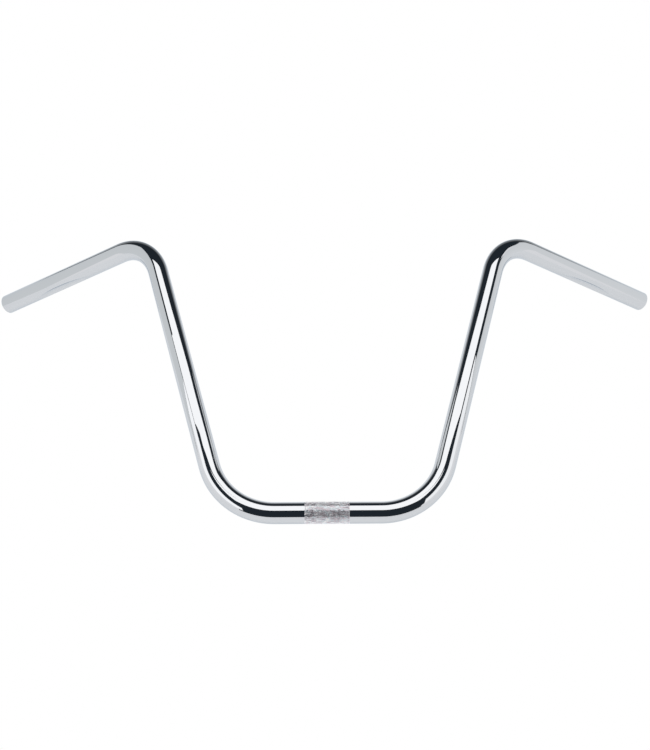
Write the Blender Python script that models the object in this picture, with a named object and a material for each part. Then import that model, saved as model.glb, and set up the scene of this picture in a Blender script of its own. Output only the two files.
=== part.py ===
"""A tall motorcycle handlebar, bent from one round steel tube and chromed.

The tube runs from its knurled middle, where the risers clamp it, through a lower bend into an upright,
then through an upper bend into a swept-back straight for the grip, and the same on the other side.
Each grip straight has a long dimple pressed into its underside, which leaves room for switch wires.

Two frames are used, both with +X along the middle of the tube and the origin at its centre:
the bar frame, with the uprights in the XZ plane and +Y towards the rider, in which the tube is drawn;
and the world frame, in which the bar leans back and lies on its middle and on its two open ends.
"""

import math

import bmesh
import bpy
from mathutils import Matrix, Vector

MM = 0.001

# Tube section
TUBE_RADIUS = 12.7 * MM
WALL = 3.0 * MM
BORE_RADIUS = TUBE_RADIUS - WALL

# Centreline, from the middle outwards
CLAMP_STRAIGHT = 62.0 * MM  # half of the straight middle
LOWER_BEND_RADIUS = 80.0 * MM
FLARE = math.radians(15.5)  # how far each upright leans outwards
UPRIGHT_LENGTH = 275.0 * MM
UPPER_BEND_RADIUS = 60.0 * MM
SWEEP_BACK = math.radians(34.7)
DROOP = math.radians(2.3)
GRIP_LENGTH = 211.0 * MM

# Dimple in the underside of each grip straight
DIMPLE_OUTER = 63.0 * MM  # from the tube's end to where the dimple starts
DIMPLE_LENGTH = 90.0 * MM
DIMPLE_DEPTH = 3.2 * MM
DIMPLE_ROUND = 12.0 * MM  # radius across the dimple
DIMPLE_TURN = math.radians(5.0)  # from straight down towards the rider
DIMPLE_SKEW = 0.8  # under 1 puts the deepest place nearer the tube's end
DIMPLE_STATIONS = 14
DIMPLE_RUN_OUT = 8.0 * MM  # how far the pressing tool reaches past each end
DIMPLE_LIFT = 1.5 * MM  # how far it stands clear there

# Facets
OUTER_SIDES = 28
BORE_SIDES = 20
TOOL_SIDES = 40
BEND_STEP = math.radians(5.5)
BORE_OVERSHOOT = 5.0 * MM

CHROME = (0.62, 0.63, 0.65, 1.0)
CHROME_ROUGHNESS = 0.05
SMOOTH_BELOW = math.radians(30)
WELD = 0.00001

SIDEWAYS = Vector((1, 0, 0))
UPRIGHT_HEADING = Vector((math.sin(FLARE), 0, math.cos(FLARE)))
GRIP_HEADING = Vector(
    (
        math.cos(SWEEP_BACK) * math.cos(DROOP),
        math.sin(SWEEP_BACK) * math.cos(DROOP),
        -math.sin(DROOP),
    )
)


def bend(start, heading, new_heading, radius):
    """Points round the bend that turns heading into new_heading, the start left out."""
    angle = heading.angle(new_heading)
    inward = (new_heading - heading * math.cos(angle)).normalized()
    centre = start + inward * radius
    steps = math.ceil(angle / BEND_STEP)
    points = []
    for step in range(1, steps + 1):
        turned = angle * step / steps
        points.append(centre + radius * (heading * math.sin(turned) - inward * math.cos(turned)))
    return points


def right_half():
    """Centreline points in the bar frame, from the first bend to the right-hand end."""
    points = [SIDEWAYS * CLAMP_STRAIGHT]
    points += bend(points[-1], SIDEWAYS, UPRIGHT_HEADING, LOWER_BEND_RADIUS)
    points.append(points[-1] + UPRIGHT_HEADING * UPRIGHT_LENGTH)
    points += bend(points[-1], UPRIGHT_HEADING, GRIP_HEADING, UPPER_BEND_RADIUS)
    points.append(points[-1] + GRIP_HEADING * GRIP_LENGTH)
    return points


def mirrored(vector):
    return Vector((-vector.x, vector.y, vector.z))


def lying_angle(end):
    """How far the bar leans back from upright when its middle and both rims touch the ground."""
    reach = math.hypot(end.y, end.z)
    lean = math.atan2(end.z, end.y)
    for _ in range(10):
        tilt = GRIP_HEADING.z * math.cos(lean) - GRIP_HEADING.y * math.sin(lean)
        end_height = TUBE_RADIUS * (math.sqrt(1 - tilt * tilt) - 1)
        lean = math.atan2(end.z, end.y) - math.asin(end_height / reach)
    return lean


def new_collection(name):
    collection = bpy.data.collections.new(name)
    bpy.context.scene.collection.children.link(collection)
    return collection


def rod(name, points, radius, sides, collection, parent):
    """A solid round rod along the points: a bevelled curve with filled caps, made a mesh and welded."""
    curve = bpy.data.curves.new(name, "CURVE")
    curve.dimensions = "3D"
    curve.bevel_depth = radius
    curve.bevel_resolution = sides // 2 - 2
    curve.use_fill_caps = True
    spline = curve.splines.new("POLY")
    spline.points.add(len(points) - 1)
    for knot, place in zip(spline.points, points):
        knot.co = (*place, 1)
    guide = bpy.data.objects.new(name + "_guide", curve)
    collection.objects.link(guide)
    guide.parent = parent
    bpy.context.view_layer.update()
    evaluated = guide.evaluated_get(bpy.context.evaluated_depsgraph_get())
    mesh = bpy.data.meshes.new_from_object(evaluated)
    welded = bmesh.new()
    welded.from_mesh(mesh)
    bmesh.ops.remove_doubles(welded, verts=welded.verts, dist=WELD)
    bmesh.ops.recalc_face_normals(welded, faces=welded.faces)
    welded.to_mesh(mesh)
    welded.free()
    mesh.name = name
    mesh.shade_smooth()
    mesh.set_sharp_from_angle(angle=SMOOTH_BELOW)
    result = bpy.data.objects.new(name, mesh)
    collection.objects.link(result)
    result.parent = parent
    result.matrix_world = guide.matrix_world
    bpy.data.objects.remove(guide)
    bpy.data.curves.remove(curve)
    return result


def hide_cutter(cutter):
    cutter.hide_render = True
    cutter.display_type = "WIRE"


def cut(target, cutter):
    modifier = target.modifiers.new("cut_" + cutter.name, "BOOLEAN")
    modifier.operation = "DIFFERENCE"
    modifier.solver = "EXACT"
    modifier.object = cutter


def dimple_path(end, heading):
    """Where the round pressing tool's middle passes: it dips into the underside and out again."""
    down = Vector((0, 0, -1))
    down = (down - heading * down.dot(heading)).normalized()
    towards_rider = heading.cross(down)
    if towards_rider.y < 0:
        towards_rider = -towards_rider
    side = down * math.cos(DIMPLE_TURN) + towards_rider * math.sin(DIMPLE_TURN)
    clear = TUBE_RADIUS + DIMPLE_ROUND
    stations = [(-DIMPLE_RUN_OUT, -DIMPLE_LIFT)]
    for i in range(DIMPLE_STATIONS + 1):
        share = i / DIMPLE_STATIONS
        stations.append(
            (share * DIMPLE_LENGTH, DIMPLE_DEPTH * math.sin(math.pi * share**DIMPLE_SKEW))
        )
    stations.append((DIMPLE_LENGTH + DIMPLE_RUN_OUT, -DIMPLE_LIFT))
    return [
        end - heading * (DIMPLE_OUTER + along) + side * (clear - depth) for along, depth in stations
    ]


def chrome():
    material = bpy.data.materials.new("chrome")
    material.use_nodes = True
    surface = material.node_tree.nodes["Principled BSDF"]
    surface.inputs["Base Color"].default_value = CHROME
    surface.inputs["Metallic"].default_value = 1.0
    surface.inputs["Roughness"].default_value = CHROME_ROUGHNESS
    return material


def build():
    for leftover in list(bpy.data.objects):
        bpy.data.objects.remove(leftover)

    handlebar = new_collection("handlebar")
    cutters = new_collection("cutters")

    half = right_half()
    centreline = [mirrored(point) for point in reversed(half)] + half
    end = half[-1]

    bar_frame = bpy.data.objects.new("bar_frame", None)
    handlebar.objects.link(bar_frame)
    bar_frame.matrix_world = Matrix.Rotation(-lying_angle(end), 4, "X")

    tube = rod("handlebar_tube", centreline, TUBE_RADIUS, OUTER_SIDES, handlebar, bar_frame)
    tube.data.materials.append(chrome())

    first = centreline[0] + mirrored(GRIP_HEADING) * BORE_OVERSHOOT
    last = centreline[-1] + GRIP_HEADING * BORE_OVERSHOOT
    bore_line = [first, *centreline[1:-1], last]
    bore = rod("bore_cutter", bore_line, BORE_RADIUS, BORE_SIDES, cutters, bar_frame)
    hide_cutter(bore)

    sides = (("right", end, GRIP_HEADING), ("left", mirrored(end), mirrored(GRIP_HEADING)))
    for name, tube_end, heading in sides:
        path = dimple_path(tube_end, heading)
        outside = rod("dimple_cutter_" + name, path, DIMPLE_ROUND, TOOL_SIDES, cutters, bar_frame)
        inside = rod(
            "dimple_inside_" + name, path, DIMPLE_ROUND + WALL, TOOL_SIDES, cutters, bar_frame
        )
        hide_cutter(outside)
        hide_cutter(inside)
        cut(tube, outside)
        cut(bore, inside)
    cut(tube, bore)


build()
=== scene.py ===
"""The looks of the tall-rise motorcycle handlebar: a polished, chromed steel tube lying on a pale floor.

The tube is drawn in the bar frame, as in the CAD: +X along its middle, +Z up its uprights, +Y towards
the rider. Then it leans back to lie on its middle and on the rims of its two open ends. Millimetres are
turned into metres by MM.
"""

import math

import bpy
import numpy as np
from mathutils import Matrix, Quaternion, Vector


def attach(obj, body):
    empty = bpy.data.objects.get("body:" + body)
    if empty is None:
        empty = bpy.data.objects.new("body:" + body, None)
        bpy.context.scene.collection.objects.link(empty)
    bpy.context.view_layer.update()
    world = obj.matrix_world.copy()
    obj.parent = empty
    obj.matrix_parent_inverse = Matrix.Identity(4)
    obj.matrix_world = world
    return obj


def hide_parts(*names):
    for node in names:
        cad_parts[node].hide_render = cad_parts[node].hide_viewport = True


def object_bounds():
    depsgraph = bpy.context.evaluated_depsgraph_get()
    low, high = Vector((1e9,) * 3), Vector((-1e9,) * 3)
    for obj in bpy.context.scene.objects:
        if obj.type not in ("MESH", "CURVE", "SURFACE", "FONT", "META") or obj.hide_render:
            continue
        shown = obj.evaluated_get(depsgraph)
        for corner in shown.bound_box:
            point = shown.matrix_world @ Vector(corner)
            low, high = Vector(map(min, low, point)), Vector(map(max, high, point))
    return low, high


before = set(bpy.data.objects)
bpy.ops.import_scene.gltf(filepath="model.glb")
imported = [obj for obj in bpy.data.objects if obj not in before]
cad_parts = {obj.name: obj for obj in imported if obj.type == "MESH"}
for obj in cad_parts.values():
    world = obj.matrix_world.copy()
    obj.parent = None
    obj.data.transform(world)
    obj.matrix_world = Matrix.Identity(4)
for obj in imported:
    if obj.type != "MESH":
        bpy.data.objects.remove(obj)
cad_low, cad_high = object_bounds()

MM = 0.001

# The tube: the CAD's own driving sizes
TUBE_RADIUS = 12.7 * MM
WALL = 3.0 * MM
CLAMP_STRAIGHT = 62.0 * MM
LOWER_BEND_RADIUS = 80.0 * MM
FLARE = math.radians(15.5)
UPRIGHT_LENGTH = 275.0 * MM
UPPER_BEND_RADIUS = 60.0 * MM
SWEEP_BACK = math.radians(34.7)
DROOP = math.radians(2.3)
GRIP_LENGTH = 211.0 * MM
DIMPLE_OUTER = 63.0 * MM
DIMPLE_LENGTH = 90.0 * MM
DIMPLE_DEPTH = 3.2 * MM
DIMPLE_ROUND = 12.0 * MM
DIMPLE_TURN = math.radians(5.0)  # from the underside towards the rider
DIMPLE_SKEW = 0.8  # under 1, the deepest place is nearer the bar's end

# Finish that the CAD leaves out
KNURLS_AROUND = 64
KNURL_ROWS = 48  # an even number of staggered rows along the band
KNURL_LENGTH = 52.0 * MM
KNURL_MIDDLE = -1.0 * MM
KNURL_CREST = 0.05 * MM  # the diamonds' flat tops, above the plain tube
KNURL_GROOVE = 0.14 * MM  # the grooves' crossings, below it
KNURL_FLAT = 0.60  # how much of a diamond's width its flat top takes
KNURL_WEAR = 0.045 * MM  # how unevenly the flat tops are pressed
CHAMFER = 0.5 * MM
DIMPLE_EDGE = 0.35 * MM  # how softly the dimple's edge rolls into the tube
TOOL_CLEARANCE = 2.0 * MM  # how far the dimple's tool stays off the tube beyond the dimple's ends
FAR_OUTSIDE = 1.0  # a height over the axis that no point of the tube reaches

# Mesh fineness
SIDES_PER_KNURL = 4
SIDES = SIDES_PER_KNURL * KNURLS_AROUND
FINE = (math.radians(3.0), 1.8 * MM)  # the outside: a bend's step and a dimple's step
COARSE = (math.radians(12.0), 15.0 * MM)  # the bore
CLAMP_STEPS = (0.02, 0.1, 0.4, 0.7, 1.0)  # shares of the run, with a short step beside the knurl
UPRIGHT_STEPS = (0.02, 0.35, 0.65, 0.98, 1.0)  # the same, with short steps beside the bends
PLAIN_GRIP_STEPS = 4
SHARP_EDGE = math.radians(30)

# Headings of the straight runs on the right-hand side
SIDEWAYS = np.array([1.0, 0.0, 0.0])
UPRIGHT_HEADING = np.array([math.sin(FLARE), 0.0, math.cos(FLARE)])
GRIP_HEADING = np.array(
    [
        math.cos(SWEEP_BACK) * math.cos(DROOP),
        math.sin(SWEEP_BACK) * math.cos(DROOP),
        -math.sin(DROOP),
    ]
)
MIRROR = np.array([-1.0, 1.0, 1.0])  # over to the left-hand side

# Camera
CAMERA_TARGET = Vector((-0.0020, 0.1646, 0.0666))
CAMERA_DISTANCE = 1.5216
CAMERA_ELEVATION = math.radians(42.06)
CAMERA_AZIMUTH = math.radians(-0.55)
CAMERA_ROLL = math.radians(0.08)
CAMERA_LENS = 59.82  # millimetres
CAMERA_REACH = 50.0

# Studio: where its cards stand and end, and how brightly the room and the floor glow
FLOOR = cad_low.z
FLOOR_REACH = 8.0
FLOOR_GLOW = 0.83
ROOM_GLOW = 0.028
RIGHT_PANEL = 0.884
RIGHT_PANEL_FOOT = 0.257
RIGHT_PANEL_BACK = 0.199
LEFT_PANEL = -0.728
LEFT_PANEL_FOOT = 0.231
LEFT_PANEL_BACK = 0.146
RIGHT_WALL = 0.797
LEFT_WALL = -0.676
FRONT_WALL = -0.843
FRONT_WALL_HALF = 0.9
BACK_WALL = 0.82
BACK_GLOW_TOP = 0.34
BACK_GLOW_HALF = 0.5

# The middle of a noise's range, where nearly all its values lie
NOISE_SPAN = (0.3, 0.7)

CHROME_SLOT, CREST_SLOT, GROOVE_SLOT, BORE_SLOT = range(4)


# ---------------------------------------------------------------- nodes that the materials share


def new_material(name):
    """A material that works by nodes, with its nodes and its links."""
    material = bpy.data.materials.new(name)
    material.use_nodes = True
    return material, material.node_tree.nodes, material.node_tree.links


def object_place(nodes):
    """Where a point is on its own object, in metres."""
    return nodes.new("ShaderNodeTexCoord").outputs["Object"]


def noise(nodes, links, place, scale, detail):
    pattern = nodes.new("ShaderNodeTexNoise")
    pattern.inputs["Scale"].default_value = scale
    pattern.inputs["Detail"].default_value = detail
    links.new(place, pattern.inputs["Vector"])
    return pattern.outputs["Fac"]


def rescaled(nodes, links, value, source, target):
    """A value, carried evenly from its source range to the target range."""
    change = nodes.new("ShaderNodeMapRange")
    change.inputs["From Min"].default_value = source[0]
    change.inputs["From Max"].default_value = source[1]
    change.inputs["To Min"].default_value = target[0]
    change.inputs["To Max"].default_value = target[1]
    links.new(value, change.inputs["Value"])
    return change.outputs["Result"]


def tinted(nodes, links, value, tints):
    """A colour that follows a value through the tints, each given after the value it belongs to."""
    ramp = nodes.new("ShaderNodeValToRGB")
    stops = ramp.color_ramp.elements
    while len(stops) < len(tints):
        stops.new(0.5)
    for stop, (position, colour) in zip(stops, tints):
        stop.position = position
        stop.color = (*colour, 1)
    links.new(value, ramp.inputs["Fac"])
    return ramp.outputs["Color"]


# ---------------------------------------------------------------- camera and studio


def add_camera():
    camera = bpy.data.objects.new("camera", bpy.data.cameras.new("camera"))
    bpy.context.scene.collection.objects.link(camera)
    bpy.context.scene.camera = camera
    back = Vector(
        (
            math.sin(CAMERA_AZIMUTH) * math.cos(CAMERA_ELEVATION),
            -math.cos(CAMERA_AZIMUTH) * math.cos(CAMERA_ELEVATION),
            math.sin(CAMERA_ELEVATION),
        )
    )
    camera.location = CAMERA_TARGET + back * CAMERA_DISTANCE
    aim = (-back).to_track_quat("-Z", "Y") @ Quaternion((0, 0, 1), CAMERA_ROLL)
    camera.rotation_euler = aim.to_euler()
    camera.data.lens = CAMERA_LENS
    camera.data.clip_end = CAMERA_REACH


def glow_material(name, colour, strength):
    material, nodes, links = new_material(name)
    nodes.clear()
    output = nodes.new("ShaderNodeOutputMaterial")
    emission = nodes.new("ShaderNodeEmission")
    emission.inputs["Color"].default_value = (*colour, 1)
    emission.inputs["Strength"].default_value = strength
    links.new(emission.outputs[0], output.inputs["Surface"])
    return material


def fading_material(name, colour, strengths, heights):
    """A glow that changes evenly with height, between the two strengths at the two heights."""
    material = glow_material(name, colour, strengths[0])
    nodes, links = material.node_tree.nodes, material.node_tree.links
    parts = nodes.new("ShaderNodeSeparateXYZ")
    links.new(object_place(nodes), parts.inputs[0])
    strength = rescaled(nodes, links, parts.outputs["Z"], heights, strengths)
    links.new(strength, nodes["Emission"].inputs["Strength"])
    return material


def card(name, corners, material):
    """A flat card that lights the tube and shows in it, but not to the camera."""
    mesh = bpy.data.meshes.new(name)
    mesh.from_pydata(corners, [], [tuple(range(len(corners)))])
    mesh.materials.append(material)
    panel = bpy.data.objects.new(name, mesh)
    bpy.context.scene.collection.objects.link(panel)
    panel.visible_camera = False
    panel.visible_shadow = False


def level_card(name, x, y, z, material):
    """A level card at the height z, between the two values of x and of y."""
    card(name, [(x[0], y[0], z), (x[1], y[0], z), (x[1], y[1], z), (x[0], y[1], z)], material)


def side_card(name, x, y, z, material):
    """A card that stands to the left or the right, at x."""
    card(name, [(x, y[0], z[0]), (x, y[1], z[0]), (x, y[1], z[1]), (x, y[0], z[1])], material)


def cross_card(name, x, y, z, material):
    """A card that stands in front of the bar or behind it, at y."""
    card(name, [(x[0], y, z[0]), (x[1], y, z[0]), (x[1], y, z[1]), (x[0], y, z[1])], material)


def white_to_camera(nodes, links, surface, white):
    """What the chrome mirrors is the surface, and what the camera sees is the white."""
    path = nodes.new("ShaderNodeLightPath")
    mix = nodes.new("ShaderNodeMixShader")
    links.new(path.outputs["Is Camera Ray"], mix.inputs[0])
    links.new(surface.outputs[0], mix.inputs[1])
    links.new(white.outputs[0], mix.inputs[2])
    return mix.outputs[0]


def add_floor():
    """Pale paper: white as the camera sees it, and a little greyer where the chrome mirrors it."""
    sides = (-FLOOR_REACH, FLOOR_REACH)
    corners = [(sides[0], sides[0]), (sides[1], sides[0]), (sides[1], sides[1]), (sides[0], sides[1])]
    mesh = bpy.data.meshes.new("floor")
    mesh.from_pydata([(x, y, FLOOR) for x, y in corners], [], [(0, 1, 2, 3)])
    floor = bpy.data.objects.new("floor", mesh)
    bpy.context.scene.collection.objects.link(floor)
    material, nodes, links = new_material("floor_paper")
    paper = nodes["Principled BSDF"]
    paper.inputs["Base Color"].default_value = (0.25, 0.25, 0.25, 1)
    paper.inputs["Roughness"].default_value = 1.0
    paper.inputs["Specular IOR Level"].default_value = 0.0
    paper.inputs["Emission Color"].default_value = (0.97, 0.985, 1.0, 1)
    paper.inputs["Emission Strength"].default_value = FLOOR_GLOW
    seen = white_to_camera(nodes, links, paper, nodes.new("ShaderNodeEmission"))
    links.new(seen, nodes["Material Output"].inputs["Surface"])
    mesh.materials.append(material)


def add_world():
    """A dim room for the chrome to mirror, and a white backdrop behind the floor's far edge."""
    world = bpy.data.worlds.new("studio")
    bpy.context.scene.world = world
    world.use_nodes = True
    nodes, links = world.node_tree.nodes, world.node_tree.links
    nodes.clear()
    output = nodes.new("ShaderNodeOutputWorld")
    room = nodes.new("ShaderNodeBackground")
    room.inputs["Color"].default_value = (0.75, 1.0, 1.3, 1)
    room.inputs["Strength"].default_value = ROOM_GLOW
    backdrop = nodes.new("ShaderNodeBackground")
    backdrop.inputs["Color"].default_value = (1, 1, 1, 1)
    seen = white_to_camera(nodes, links, room, backdrop)
    links.new(seen, output.inputs["Surface"])


def add_softboxes():
    """Level white cards: a wide one high over the bar, and three small ones lower down."""
    white = glow_material("softbox", (1.0, 0.995, 0.99), 1.45)
    level_card("softbox_top", (-0.87, 0.96), (0.062, 0.703), 1.375, white)
    level_card("softbox_high", (-0.29, 0.18), (0.052, 0.397), 0.537, white)
    level_card("softbox_middle", (-0.22, 0.226), (-0.132, 0.021), 0.458, white)
    level_card("softbox_near", (-0.445, 0.226), (0.076, 0.219), 0.431, white)


def add_side_panels(pale):
    """A white panel on either side, each over a stretch of pale wall that reaches the floor."""
    right = glow_material("panel_white_right", (1.0, 1.0, 1.0), 1.32)
    left = glow_material("panel_white_left", (1.0, 1.0, 1.0), 1.42)
    right_depth = (FRONT_WALL, RIGHT_PANEL_BACK)
    left_depth = (FRONT_WALL, LEFT_PANEL_BACK)
    side_card("panel_right", RIGHT_PANEL, (-0.763, RIGHT_PANEL_BACK), (RIGHT_PANEL_FOOT, 0.880), right)
    side_card("panel_left", LEFT_PANEL, (-1.015, LEFT_PANEL_BACK), (LEFT_PANEL_FOOT, 0.714), left)
    side_card("front_wall_right", RIGHT_PANEL, right_depth, (FLOOR, RIGHT_PANEL_FOOT), pale)
    side_card("front_wall_left", LEFT_PANEL, left_depth, (FLOOR, LEFT_PANEL_FOOT), pale)


def add_walls(pale):
    """The room's walls beside the grips, a strip of panel beyond each, and a low one in front."""
    right = fading_material("wall_right", (0.97, 0.99, 1.0), (0.98, 0.90), (FLOOR, 0.51))
    left = fading_material("wall_left", (0.96, 0.99, 1.0), (0.88, 0.84), (FLOOR, 0.63))
    far_left = glow_material("far_left", (0.99, 0.99, 1.0), 0.79)
    side_card("back_wall_right", RIGHT_WALL, (RIGHT_PANEL_BACK, 0.931), (FLOOR, 0.513), right)
    side_card("back_wall_left", LEFT_WALL, (LEFT_PANEL_BACK, 0.748), (FLOOR, 0.634), left)
    side_card("far_panel_right", 1.347, (0.597, 0.943), (0.579, 1.136), pale)
    side_card("far_panel_left", -1.283, (0.553, 0.581), (0.19, 1.151), far_left)
    cross_card("front_wall", (-FRONT_WALL_HALF, FRONT_WALL_HALF), FRONT_WALL, (FLOOR, 0.054), pale)


def add_back_glow():
    """The far end of the room: a glow at floor level that fades upwards, brighter in the corners."""
    rise = (FLOOR, BACK_GLOW_TOP)
    middle = fading_material("back_glow", (0.94, 0.98, 1.02), (0.60, ROOM_GLOW), rise)
    corner = fading_material("back_corner_glow", (0.95, 0.98, 1.0), (0.85, ROOM_GLOW), rise)
    cross_card("back_glow", (-BACK_GLOW_HALF, BACK_GLOW_HALF), BACK_WALL, rise, middle)
    cross_card("back_corner_right", (BACK_GLOW_HALF, RIGHT_WALL), BACK_WALL, rise, corner)
    cross_card("back_corner_left", (LEFT_WALL, -BACK_GLOW_HALF), BACK_WALL, rise, corner)


def add_studio():
    """Soft white panels over and beside the bar, pale walls lower down, and a dim room all round."""
    bpy.context.scene.view_settings.view_transform = "Standard"
    add_world()
    add_floor()
    pale = glow_material("wall_pale", (0.99, 0.99, 1.0), 1.04)
    add_softboxes()
    add_side_panels(pale)
    add_walls(pale)
    add_back_glow()


# ---------------------------------------------------------------- the tube's materials


def chrome_material():
    """Bright chrome plate: nearly a mirror, with slow changes of gloss and tint."""
    material, nodes, links = new_material("chrome_plate")
    surface = nodes["Principled BSDF"]
    surface.inputs["Metallic"].default_value = 1.0
    surface.inputs["Specular Tint"].default_value = (0.80, 0.84, 0.88, 1)
    haze = noise(nodes, links, object_place(nodes), 14.0, 4.0)
    links.new(rescaled(nodes, links, haze, NOISE_SPAN, (0.01, 0.035)), surface.inputs["Roughness"])
    tint = nodes.new("ShaderNodeMix")
    tint.data_type = "RGBA"
    tint.inputs["A"].default_value = (0.610, 0.625, 0.650, 1)
    tint.inputs["B"].default_value = (0.650, 0.660, 0.675, 1)
    links.new(haze, tint.inputs["Factor"])
    links.new(tint.outputs["Result"], surface.inputs["Base Color"])
    return material


def knurl_painted_glint_material(name, tints, roughness):
    """Chrome on the knurl: streaks along the bar with their own gloss, and with their own tint, which is
    painted glitter: lighter and darker streaks in the colour that stand in for glints off the knurl's
    facets.
    """
    material, nodes, links = new_material(name)
    surface = nodes["Principled BSDF"]
    surface.inputs["Metallic"].default_value = 1.0
    stretch = nodes.new("ShaderNodeMapping")
    stretch.inputs["Scale"].default_value = (0.35, 1.0, 1.0)
    links.new(object_place(nodes), stretch.inputs["Vector"])
    # One noise gives both the knurl's uneven gloss and its painted glints, as lighter and darker streaks
    # in the base colour.
    grain_and_glints = noise(nodes, links, stretch.outputs["Vector"], 520.0, 2.0)
    links.new(rescaled(nodes, links, grain_and_glints, NOISE_SPAN, roughness), surface.inputs["Roughness"])
    # Painted glints: the streaks' tint, not the plate's own colour.
    links.new(tinted(nodes, links, grain_and_glints, tints), surface.inputs["Base Color"])
    return material


def crest_material():
    # Painted glints on the flat tops: streak tints from dark grey through pink and blue to near white.
    tints = (
        (0.34, (0.44, 0.45, 0.49)),
        (0.46, (0.68, 0.58, 0.62)),
        (0.54, (0.62, 0.70, 0.74)),
        (0.66, (1.0, 0.94, 0.94)),
    )
    return knurl_painted_glint_material("knurl_crest_chrome_painted_glints", tints, (0.08, 0.24))


def groove_material():
    # Painted glints on the slopes: streak tints from grey through pink and blue to near white.
    tints = (
        (0.34, (0.54, 0.56, 0.60)),
        (0.46, (0.86, 0.76, 0.79)),
        (0.54, (0.76, 0.84, 0.88)),
        (0.66, (1.0, 0.97, 0.97)),
    )
    return knurl_painted_glint_material("knurl_groove_chrome_painted_glints", tints, (0.30, 0.50))


def bore_material():
    """Bare drawn steel inside the tube: dull grey with brown storage rust."""
    material, nodes, links = new_material("bare_steel_bore")
    surface = nodes["Principled BSDF"]
    surface.inputs["Metallic"].default_value = 0.85
    blotch = noise(nodes, links, object_place(nodes), 120.0, 6.0)
    tints = ((0.35, (0.075, 0.070, 0.068)), (0.75, (0.16, 0.12, 0.09)))
    links.new(tinted(nodes, links, blotch, tints), surface.inputs["Base Color"])
    links.new(rescaled(nodes, links, blotch, (0.0, 1.0), (0.35, 0.7)), surface.inputs["Roughness"])
    return material


# ---------------------------------------------------------------- the tube's centreline


def unit(vector):
    return vector / np.linalg.norm(vector)


def carried(normal, heading):
    """The normal, made square to the heading again."""
    return unit(normal - heading * normal.dot(heading))


def lying_angle(end):
    """How far the bar leans back from upright, to lie on its middle and on the rims of its ends."""
    reach = math.hypot(end[1], end[2])
    straight_lean = math.atan2(end[2], end[1])
    lean = straight_lean
    for _ in range(10):
        tilt = GRIP_HEADING[2] * math.cos(lean) - GRIP_HEADING[1] * math.sin(lean)
        end_height = TUBE_RADIUS * (math.sqrt(1 - tilt * tilt) - 1)
        lean = straight_lean - math.asin(end_height / reach)
    return lean


def straight(stations, heading, length, steps):
    """Adds stations along a straight run; each is its place, heading and a normal."""
    place, _, normal = stations[-1]
    for share in steps:
        stations.append((place + heading * length * share, heading, normal))


def bend(stations, new_heading, radius, bend_step):
    """Adds stations round a bend to a new heading, and carries the normal along."""
    place, heading, normal = stations[-1]
    angle = math.acos(heading.dot(new_heading))
    inward = carried(new_heading, heading)
    centre = place + inward * radius
    steps = math.ceil(angle / bend_step)
    for step in range(1, steps + 1):
        turned = angle * step / steps
        along = heading * math.cos(turned) + inward * math.sin(turned)
        out = heading * math.sin(turned) - inward * math.cos(turned)
        normal = carried(normal, along)
        stations.append((centre + radius * out, along, normal))


def grip_steps(dimple_step):
    """Shares of the grip's run: a few steps, then fine ones along the dimple, and a few to the chamfer."""
    outer = GRIP_LENGTH - DIMPLE_OUTER
    inner = outer - DIMPLE_LENGTH
    finish = GRIP_LENGTH - CHAMFER - outer
    count = round(DIMPLE_LENGTH / dimple_step)
    before = [inner * i / PLAIN_GRIP_STEPS for i in range(1, PLAIN_GRIP_STEPS)]
    dimple = [inner + DIMPLE_LENGTH * i / count for i in range(count + 1)]
    after = [outer + finish * i / PLAIN_GRIP_STEPS for i in range(1, PLAIN_GRIP_STEPS + 1)]
    return [length / GRIP_LENGTH for length in (*before, *dimple, *after)]


def right_stations(start=0.0, fineness=COARSE):
    """Stations from a start on the clamp section to the right-hand end's chamfer, in the bar frame."""
    bend_step, dimple_step = fineness
    stations = [(SIDEWAYS * start, SIDEWAYS, np.array([0.0, 0.0, 1.0]))]
    straight(stations, SIDEWAYS, CLAMP_STRAIGHT - start, CLAMP_STEPS)
    bend(stations, UPRIGHT_HEADING, LOWER_BEND_RADIUS, bend_step)
    straight(stations, UPRIGHT_HEADING, UPRIGHT_LENGTH, UPRIGHT_STEPS)
    bend(stations, GRIP_HEADING, UPPER_BEND_RADIUS, bend_step)
    straight(stations, GRIP_HEADING, GRIP_LENGTH, grip_steps(dimple_step))
    return stations


def bar_end():
    """The middle of the right-hand end, in the bar frame."""
    return right_stations()[-1][0] + GRIP_HEADING * CHAMFER


# ---------------------------------------------------------------- the tube's rings and dimples


def dimple_direction():
    """The side of the grip that the dimple is pressed into: its underside, turned towards the rider."""
    down = carried(np.array([0.0, 0.0, -1.0]), GRIP_HEADING)
    rider = np.cross(GRIP_HEADING, down)
    if rider[1] < 0:
        rider = -rider
    return down * math.cos(DIMPLE_TURN) + rider * math.sin(DIMPLE_TURN)


def dimple_depth(from_end):
    """How deep the tool is pressed in at a distance from the bar's end; below zero it stays clear."""
    share = (from_end - DIMPLE_OUTER) / DIMPLE_LENGTH
    if share <= 0 or share >= 1:
        return -TOOL_CLEARANCE
    return DIMPLE_DEPTH * math.sin(math.pi * share**DIMPLE_SKEW)


def ring(place, heading, normal, radius):
    """The corners of a round section, from the normal on."""
    other = np.cross(heading, normal)
    turns = np.arange(SIDES) * 2 * math.pi / SIDES
    return place + radius * (np.cos(turns)[:, None] * normal + np.sin(turns)[:, None] * other)


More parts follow.
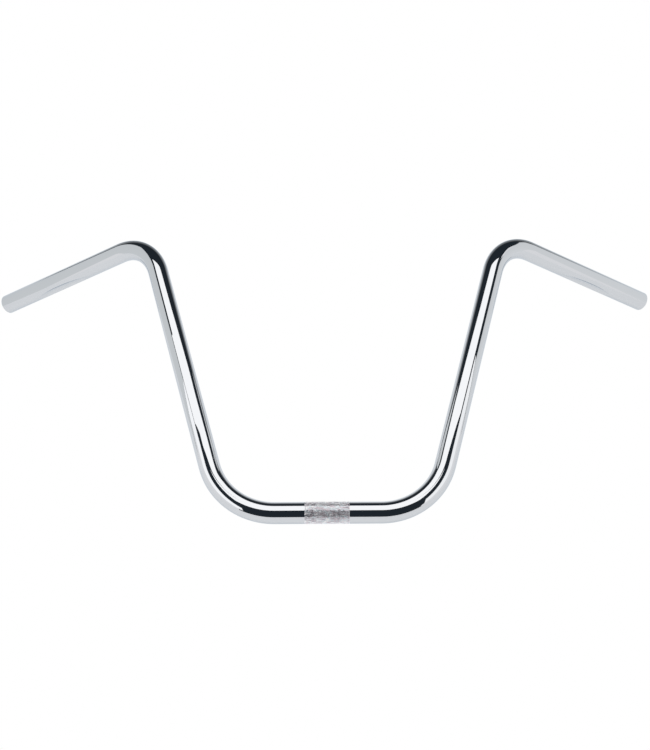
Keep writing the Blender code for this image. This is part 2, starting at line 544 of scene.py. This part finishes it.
def pressed(points, place, heading, end, side, inset):
    """A ring's points, pressed in where the dimple's round tool reaches.

    The inset is how far the ring lies below the tube's surface.
    """
    from_end = (end - place).dot(heading)
    centre = TUBE_RADIUS + DIMPLE_ROUND - dimple_depth(from_end)
    across = np.cross(heading, side)
    x = (points - place) @ side
    y = (points - place) @ across
    tool = DIMPLE_ROUND + inset
    reach = np.sqrt(np.maximum(tool * tool - y * y, 0.0))
    limit = np.where(np.abs(y) < tool, centre - reach, FAR_OUTSIDE)
    blend = np.clip(0.5 + 0.5 * (x - limit) / DIMPLE_EDGE, 0, 1)
    soft = x * (1 - blend) + limit * blend - DIMPLE_EDGE * blend * (1 - blend)
    soft = np.where(x > 0, np.minimum(soft, x), x)
    return points + (soft - x)[:, None] * side


def skin_rings(stations, inset):
    """Rings round the stations, inset below the tube's surface, with the dimple pressed in."""
    end = bar_end()
    side = dimple_direction()
    rings = []
    for place, heading, normal in stations:
        points = ring(place, heading, normal, TUBE_RADIUS - inset)
        if heading is GRIP_HEADING:
            points = pressed(points, place, heading, end, side, inset)
        rings.append(points)
    return rings


def mirrored(rings):
    """The same rings on the left-hand side."""
    return [points * MIRROR for points in rings]


# ---------------------------------------------------------------- the tube's mesh


class Skin:
    """The tube's mesh while it is being made: its points, and its faces with their materials."""

    def __init__(self):
        self.points = []
        self.faces = []
        self.slots = []
        self.smooth = []

    def add(self, points):
        """Adds points, and gives back the first one's number."""
        first = len(self.points)
        self.points.extend(points)
        return first

    def face(self, corners, slot, smooth):
        self.faces.append(corners)
        self.slots.append(slot)
        self.smooth.append(smooth)

    def bridge(self, first, second, slot):
        """Joins two rings, given by the numbers of their first points."""
        for k in range(SIDES):
            n = (k + 1) % SIDES
            self.face((first + k, first + n, second + n, second + k), slot, True)

    def sweep(self, rings, slot):
        """Joins a run of rings, and gives back where its first and last ring start."""
        starts = [self.add(points) for points in rings]
        for first, second in zip(starts, starts[1:]):
            self.bridge(first, second, slot)
        return starts[0], starts[-1]


class Knurl:
    """Rows of diamonds with flat tops, between V grooves that cross in the staggered valley points."""

    def __init__(self, skin, left_ring, right_ring):
        self.skin = skin
        self.wear = np.random.default_rng(4)
        self.start = KNURL_MIDDLE - KNURL_LENGTH / 2
        self.spacing = KNURL_LENGTH / KNURL_ROWS
        self.half = SIDES_PER_KNURL // 2
        self.rims = {0: left_ring, KNURL_ROWS: right_ring}
        self.valley = {}

    def places(self):
        """Each row along the band, with the turns of its valley points round the tube."""
        for row in range(KNURL_ROWS + 1):
            for turn in range(self.half * (row % 2), SIDES, SIDES_PER_KNURL):
                yield row, turn

    def point(self, turn, row, radius):
        """A point of the knurl; turn counts the tube's sides from +Z towards -Y."""
        angle = turn * 2 * math.pi / SIDES
        x = self.start + row * self.spacing
        return np.array([x, -radius * math.sin(angle), radius * math.cos(angle)])

    def add_valleys(self):
        """The grooves' crossings, which at the band's two rims are points of the plain tube."""
        for row, turn in self.places():
            if row in self.rims:
                self.valley[row, turn] = self.rims[row] + turn
            else:
                crossing = self.point(turn, row, TUBE_RADIUS - KNURL_GROOVE)
                self.valley[row, turn] = self.skin.add([crossing])

    def add_rim_fan(self, row, low_turn):
        """The slope from a rim's edges down to the nearest crossing."""
        tip = self.valley[abs(row - 1), (low_turn + self.half) % SIDES]
        for side in range(low_turn, low_turn + SIDES_PER_KNURL):
            edge = (self.rims[row] + side, self.rims[row] + (side + 1) % SIDES)
            corners = (edge[1], tip, edge[0]) if row == 0 else (edge[0], tip, edge[1])
            self.skin.face(corners, GROOVE_SLOT, False)

    def add_diamond(self, row, low_turn):
        """A flat top, unevenly pressed, and its four slopes down to the crossings."""
        middle = (low_turn + self.half) % SIDES
        corners = (
            self.valley[row, low_turn],
            self.valley[row - 1, middle],
            self.valley[row, (low_turn + SIDES_PER_KNURL) % SIDES],
            self.valley[row + 1, middle],
        )
        tops = []
        for across, along in ((-1, 0), (0, -1), (1, 0), (0, 1)):
            crest = TUBE_RADIUS + KNURL_CREST + KNURL_WEAR * self.wear.uniform(-1, 1)
            top_turn = low_turn + self.half + across * KNURL_FLAT * self.half
            tops.append(self.point(top_turn, row + along * KNURL_FLAT, crest))
        first = self.skin.add(tops)
        inner = tuple(range(first, first + 4))
        self.skin.face(inner, CREST_SLOT, False)
        for k in range(4):
            n = (k + 1) % 4
            self.skin.face((corners[k], corners[n], inner[n], inner[k]), GROOVE_SLOT, False)

    def add(self):
        self.add_valleys()
        for row, turn in self.places():
            if row in self.rims:
                self.add_rim_fan(row, turn)
            else:
                self.add_diamond(row, turn)


def make_skin():
    """The whole tube in the bar frame: the outside, the knurl, the bore and the two cut ends."""
    skin = Skin()
    right_edge = KNURL_MIDDLE + KNURL_LENGTH / 2
    left_edge = KNURL_LENGTH / 2 - KNURL_MIDDLE
    right = skin_rings(right_stations(right_edge, FINE), 0.0)
    left = mirrored(reversed(skin_rings(right_stations(left_edge, FINE), 0.0)))
    left_end, left_knurl = skin.sweep(left, CHROME_SLOT)
    right_knurl, right_end = skin.sweep(right, CHROME_SLOT)
    Knurl(skin, left_knurl, right_knurl).add()

    bore_right = skin_rings(right_stations(), WALL)
    bore = [*reversed(bore_right), *mirrored(bore_right[1:])]
    bore_start, bore_finish = skin.sweep(bore, BORE_SLOT)

    normal = right_stations()[-1][2]
    lip = ring(bar_end(), GRIP_HEADING, normal, TUBE_RADIUS - CHAMFER)
    inner_lip = ring(bar_end(), GRIP_HEADING, normal, TUBE_RADIUS - WALL + CHAMFER)
    right_outer, right_inner = skin.sweep([lip, inner_lip], CHROME_SLOT)
    left_inner, left_outer = skin.sweep(mirrored([inner_lip, lip]), CHROME_SLOT)
    skin.bridge(right_end, right_outer, CHROME_SLOT)
    skin.bridge(right_inner, bore_start, CHROME_SLOT)
    skin.bridge(bore_finish, left_inner, CHROME_SLOT)
    skin.bridge(left_outer, left_end, CHROME_SLOT)
    return skin


def build_tube():
    """The tube, leaned back on to the floor. Its materials are in the order of the slots."""
    skin = make_skin()
    turn = np.array(Matrix.Rotation(-lying_angle(bar_end()), 3, "X"))
    points = np.array(skin.points) @ turn.T
    mesh = bpy.data.meshes.new("chromed_tube")
    mesh.from_pydata(points.tolist(), [], skin.faces)
    for material in (chrome_material(), crest_material(), groove_material(), bore_material()):
        mesh.materials.append(material)
    mesh.polygons.foreach_set("material_index", skin.slots)
    mesh.polygons.foreach_set("use_smooth", skin.smooth)
    mesh.validate()
    tube = bpy.data.objects.new("chromed_tube", mesh)
    bpy.context.scene.collection.objects.link(tube)
    mesh.set_sharp_from_angle(angle=SHARP_EDGE)
    return tube


add_camera()
add_studio()
tube = build_tube()
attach(tube, "root")
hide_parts("handlebar_tube")
